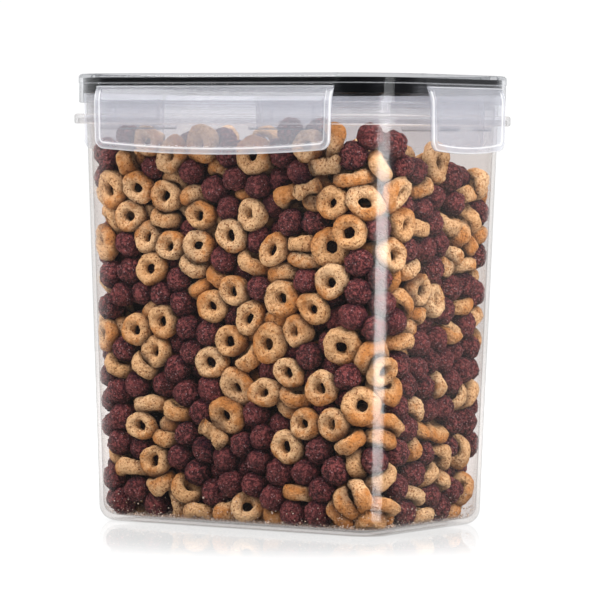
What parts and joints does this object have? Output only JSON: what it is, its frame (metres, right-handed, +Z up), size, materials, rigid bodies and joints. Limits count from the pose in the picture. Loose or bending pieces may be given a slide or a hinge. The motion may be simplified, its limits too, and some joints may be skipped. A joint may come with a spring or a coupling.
{
  "type": "food canister",
  "caption": "Tall tapered clear food canister with rounded corners and a translucent gasketed lid that locks with hinged flaps on every side.",
  "frame": {"origin": "centre of the base, on the surface that the canister stands on", "axes": "+Z up, X along the long sides, -Y out of the front long side"},
  "size_m": [0.1722, 0.1226, 0.186],
  "materials": {
    "clear_plastic": "clear, polished",
    "lid_plastic": "cool translucent, polished",
    "gasket_rubber": "satin black silicone",
    "toasted_cereal": "matt, toasted and porous",
    "cocoa_cereal": "matt, crumbly with sugar grains"
  },
  "bodies": {
    "canister": {"canister_body": "clear_plastic"},
    "lid": {"lid": "lid_plastic", "gasket": "gasket_rubber", "front_hinge": "lid_plastic", "back_hinge": "lid_plastic", "left_hinge": "lid_plastic", "right_hinge": "lid_plastic"},
    "front_flap": {"front_flap": "lid_plastic"},
    "back_flap": {"back_flap": "lid_plastic"},
    "left_flap": {"left_flap": "lid_plastic"},
    "right_flap": {"right_flap": "lid_plastic"}
  },
  "joints": [
    {"name": "lid_lift", "type": "slide", "parent": "canister", "child": "lid", "axis": [0, 0, 1], "range_m": [0, 0.08]},
    {"name": "front_flap_hinge", "type": "hinge", "parent": "lid", "child": "front_flap", "pos_m": [0, -0.05826, 0.1814], "axis": [-1, 0, 0], "range_deg": [0, 120]},
    {"name": "back_flap_hinge", "type": "hinge", "parent": "lid", "child": "back_flap", "pos_m": [0, 0.05826, 0.1814], "axis": [1, 0, 0], "range_deg": [0, 120]},
    {"name": "left_flap_hinge", "type": "hinge", "parent": "lid", "child": "left_flap", "pos_m": [-0.08306, 0, 0.1814], "axis": [0, 1, 0], "range_deg": [0, 120]},
    {"name": "right_flap_hinge", "type": "hinge", "parent": "lid", "child": "right_flap", "pos_m": [0.08306, 0, 0.1814], "axis": [0, -1, 0], "range_deg": [0, 120]}
  ]
}
